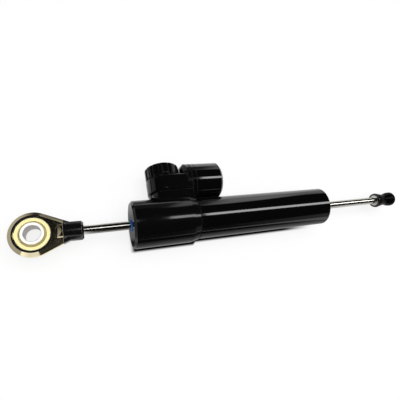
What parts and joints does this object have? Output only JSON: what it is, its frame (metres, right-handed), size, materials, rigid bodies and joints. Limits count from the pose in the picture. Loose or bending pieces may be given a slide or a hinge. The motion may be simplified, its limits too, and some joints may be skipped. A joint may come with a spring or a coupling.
{
  "type": "motorcycle steering damper",
  "caption": "Through-rod steering damper with a spherical rod eye, black housing, adjuster knob and side reservoir.",
  "frame": {"origin": "centre of the bore in the eye's spherical bearing", "axes": "+X along the rod from the eye to its free end, +Y from the tube to the reservoir, +Z along the eye's bore, up when the damper lies on its side"},
  "size_m": [0.3167, 0.0604, 0.0336],
  "materials": {
    "black_anodised": "satin black anodised",
    "plated_steel": "yellow zinc plated, the neck black",
    "black_gloss": "polished black anodised",
    "chromed_rod": "ground and hard chromed",
    "gold_race": "pale gold plated",
    "ball_steel": "polished",
    "black_rubber": "moulded",
    "blue_wiper": "moulded",
    "spring_steel": "oil blackened",
    "zinc_steel": "bright zinc",
    "polished_washer": "polished",
    "bronze": "turned",
    "hard_steel": "ground",
    "bare_aluminium": "turned",
    "white_ptfe": "moulded"
  },
  "bodies": {
    "damper_body": {"head_block": "black_anodised", "damper_tube": "black_gloss", "cylinder_liner": "hard_steel", "tube_end_plug": "black_anodised", "tube_ring": "spring_steel", "front_bush": "bronze", "rear_bush": "bronze", "front_seal": "black_rubber", "rear_seal": "black_rubber", "front_wiper": "blue_wiper", "rear_wiper": "blue_wiper", "tube_o_ring": "black_rubber", "plug_o_ring": "black_rubber", "reservoir_barrel": "black_gloss", "reservoir_o_ring": "black_rubber", "charging_screw": "zinc_steel", "valve_seat": "hard_steel", "needle_guide": "bronze", "adjuster_bush": "bronze"},
    "piston": {"damper_piston": "bare_aluminium", "piston_ring": "white_ptfe"},
    "rod": {"damper_rod": "chromed_rod", "piston_clips": "spring_steel", "rod_eye": "plated_steel", "bearing_race": "gold_race", "bearing_snap_rings": "spring_steel", "bump_washer": "polished_washer", "rod_end_cap": "black_rubber"},
    "ball": {"bearing_ball": "ball_steel"},
    "adjuster": {"adjuster_knob": "black_anodised", "adjuster_spindle": "hard_steel", "spindle_o_ring": "black_rubber", "knob_screw": "zinc_steel"},
    "needle": {"valve_needle": "hard_steel"},
    "floating_piston": {"reservoir_piston": "bare_aluminium", "float_o_ring": "black_rubber"}
  },
  "joints": [
    {"name": "piston_slide", "type": "slide", "parent": "damper_body", "child": "piston", "axis": [1, 0, 0], "range_m": [-0.062, 0.028]},
    {"name": "rod_turn", "type": "hinge", "parent": "piston", "child": "rod", "pos_m": [0.161, 0, 0], "axis": [1, 0, 0], "continuous": true},
    {"name": "eye_tilt", "type": "hinge", "parent": "rod", "child": "ball", "pos_m": [0, 0, 0], "axis": [0, 1, 0], "range_deg": [-12, 12]},
    {"name": "adjuster_turn", "type": "hinge", "parent": "damper_body", "child": "adjuster", "pos_m": [0.0887, 0.03684, -0.00342], "axis": [0, 0.9957, -0.0924], "range_deg": [-360, 360]},
    {"name": "needle_lift", "type": "slide", "parent": "damper_body", "child": "needle", "axis": [0, 0.9957, -0.0924], "range_m": [-0.00101, 0.00101]},
    {"name": "float_slide", "type": "slide", "parent": "damper_body", "child": "floating_piston", "axis": [1, 0, 0], "range_m": [-0.004, 0.006]}
  ],
  "couplings": [
    {"joint": "needle_lift", "follows": "adjuster_turn", "m_per_rad": 0.00015915}
  ]
}
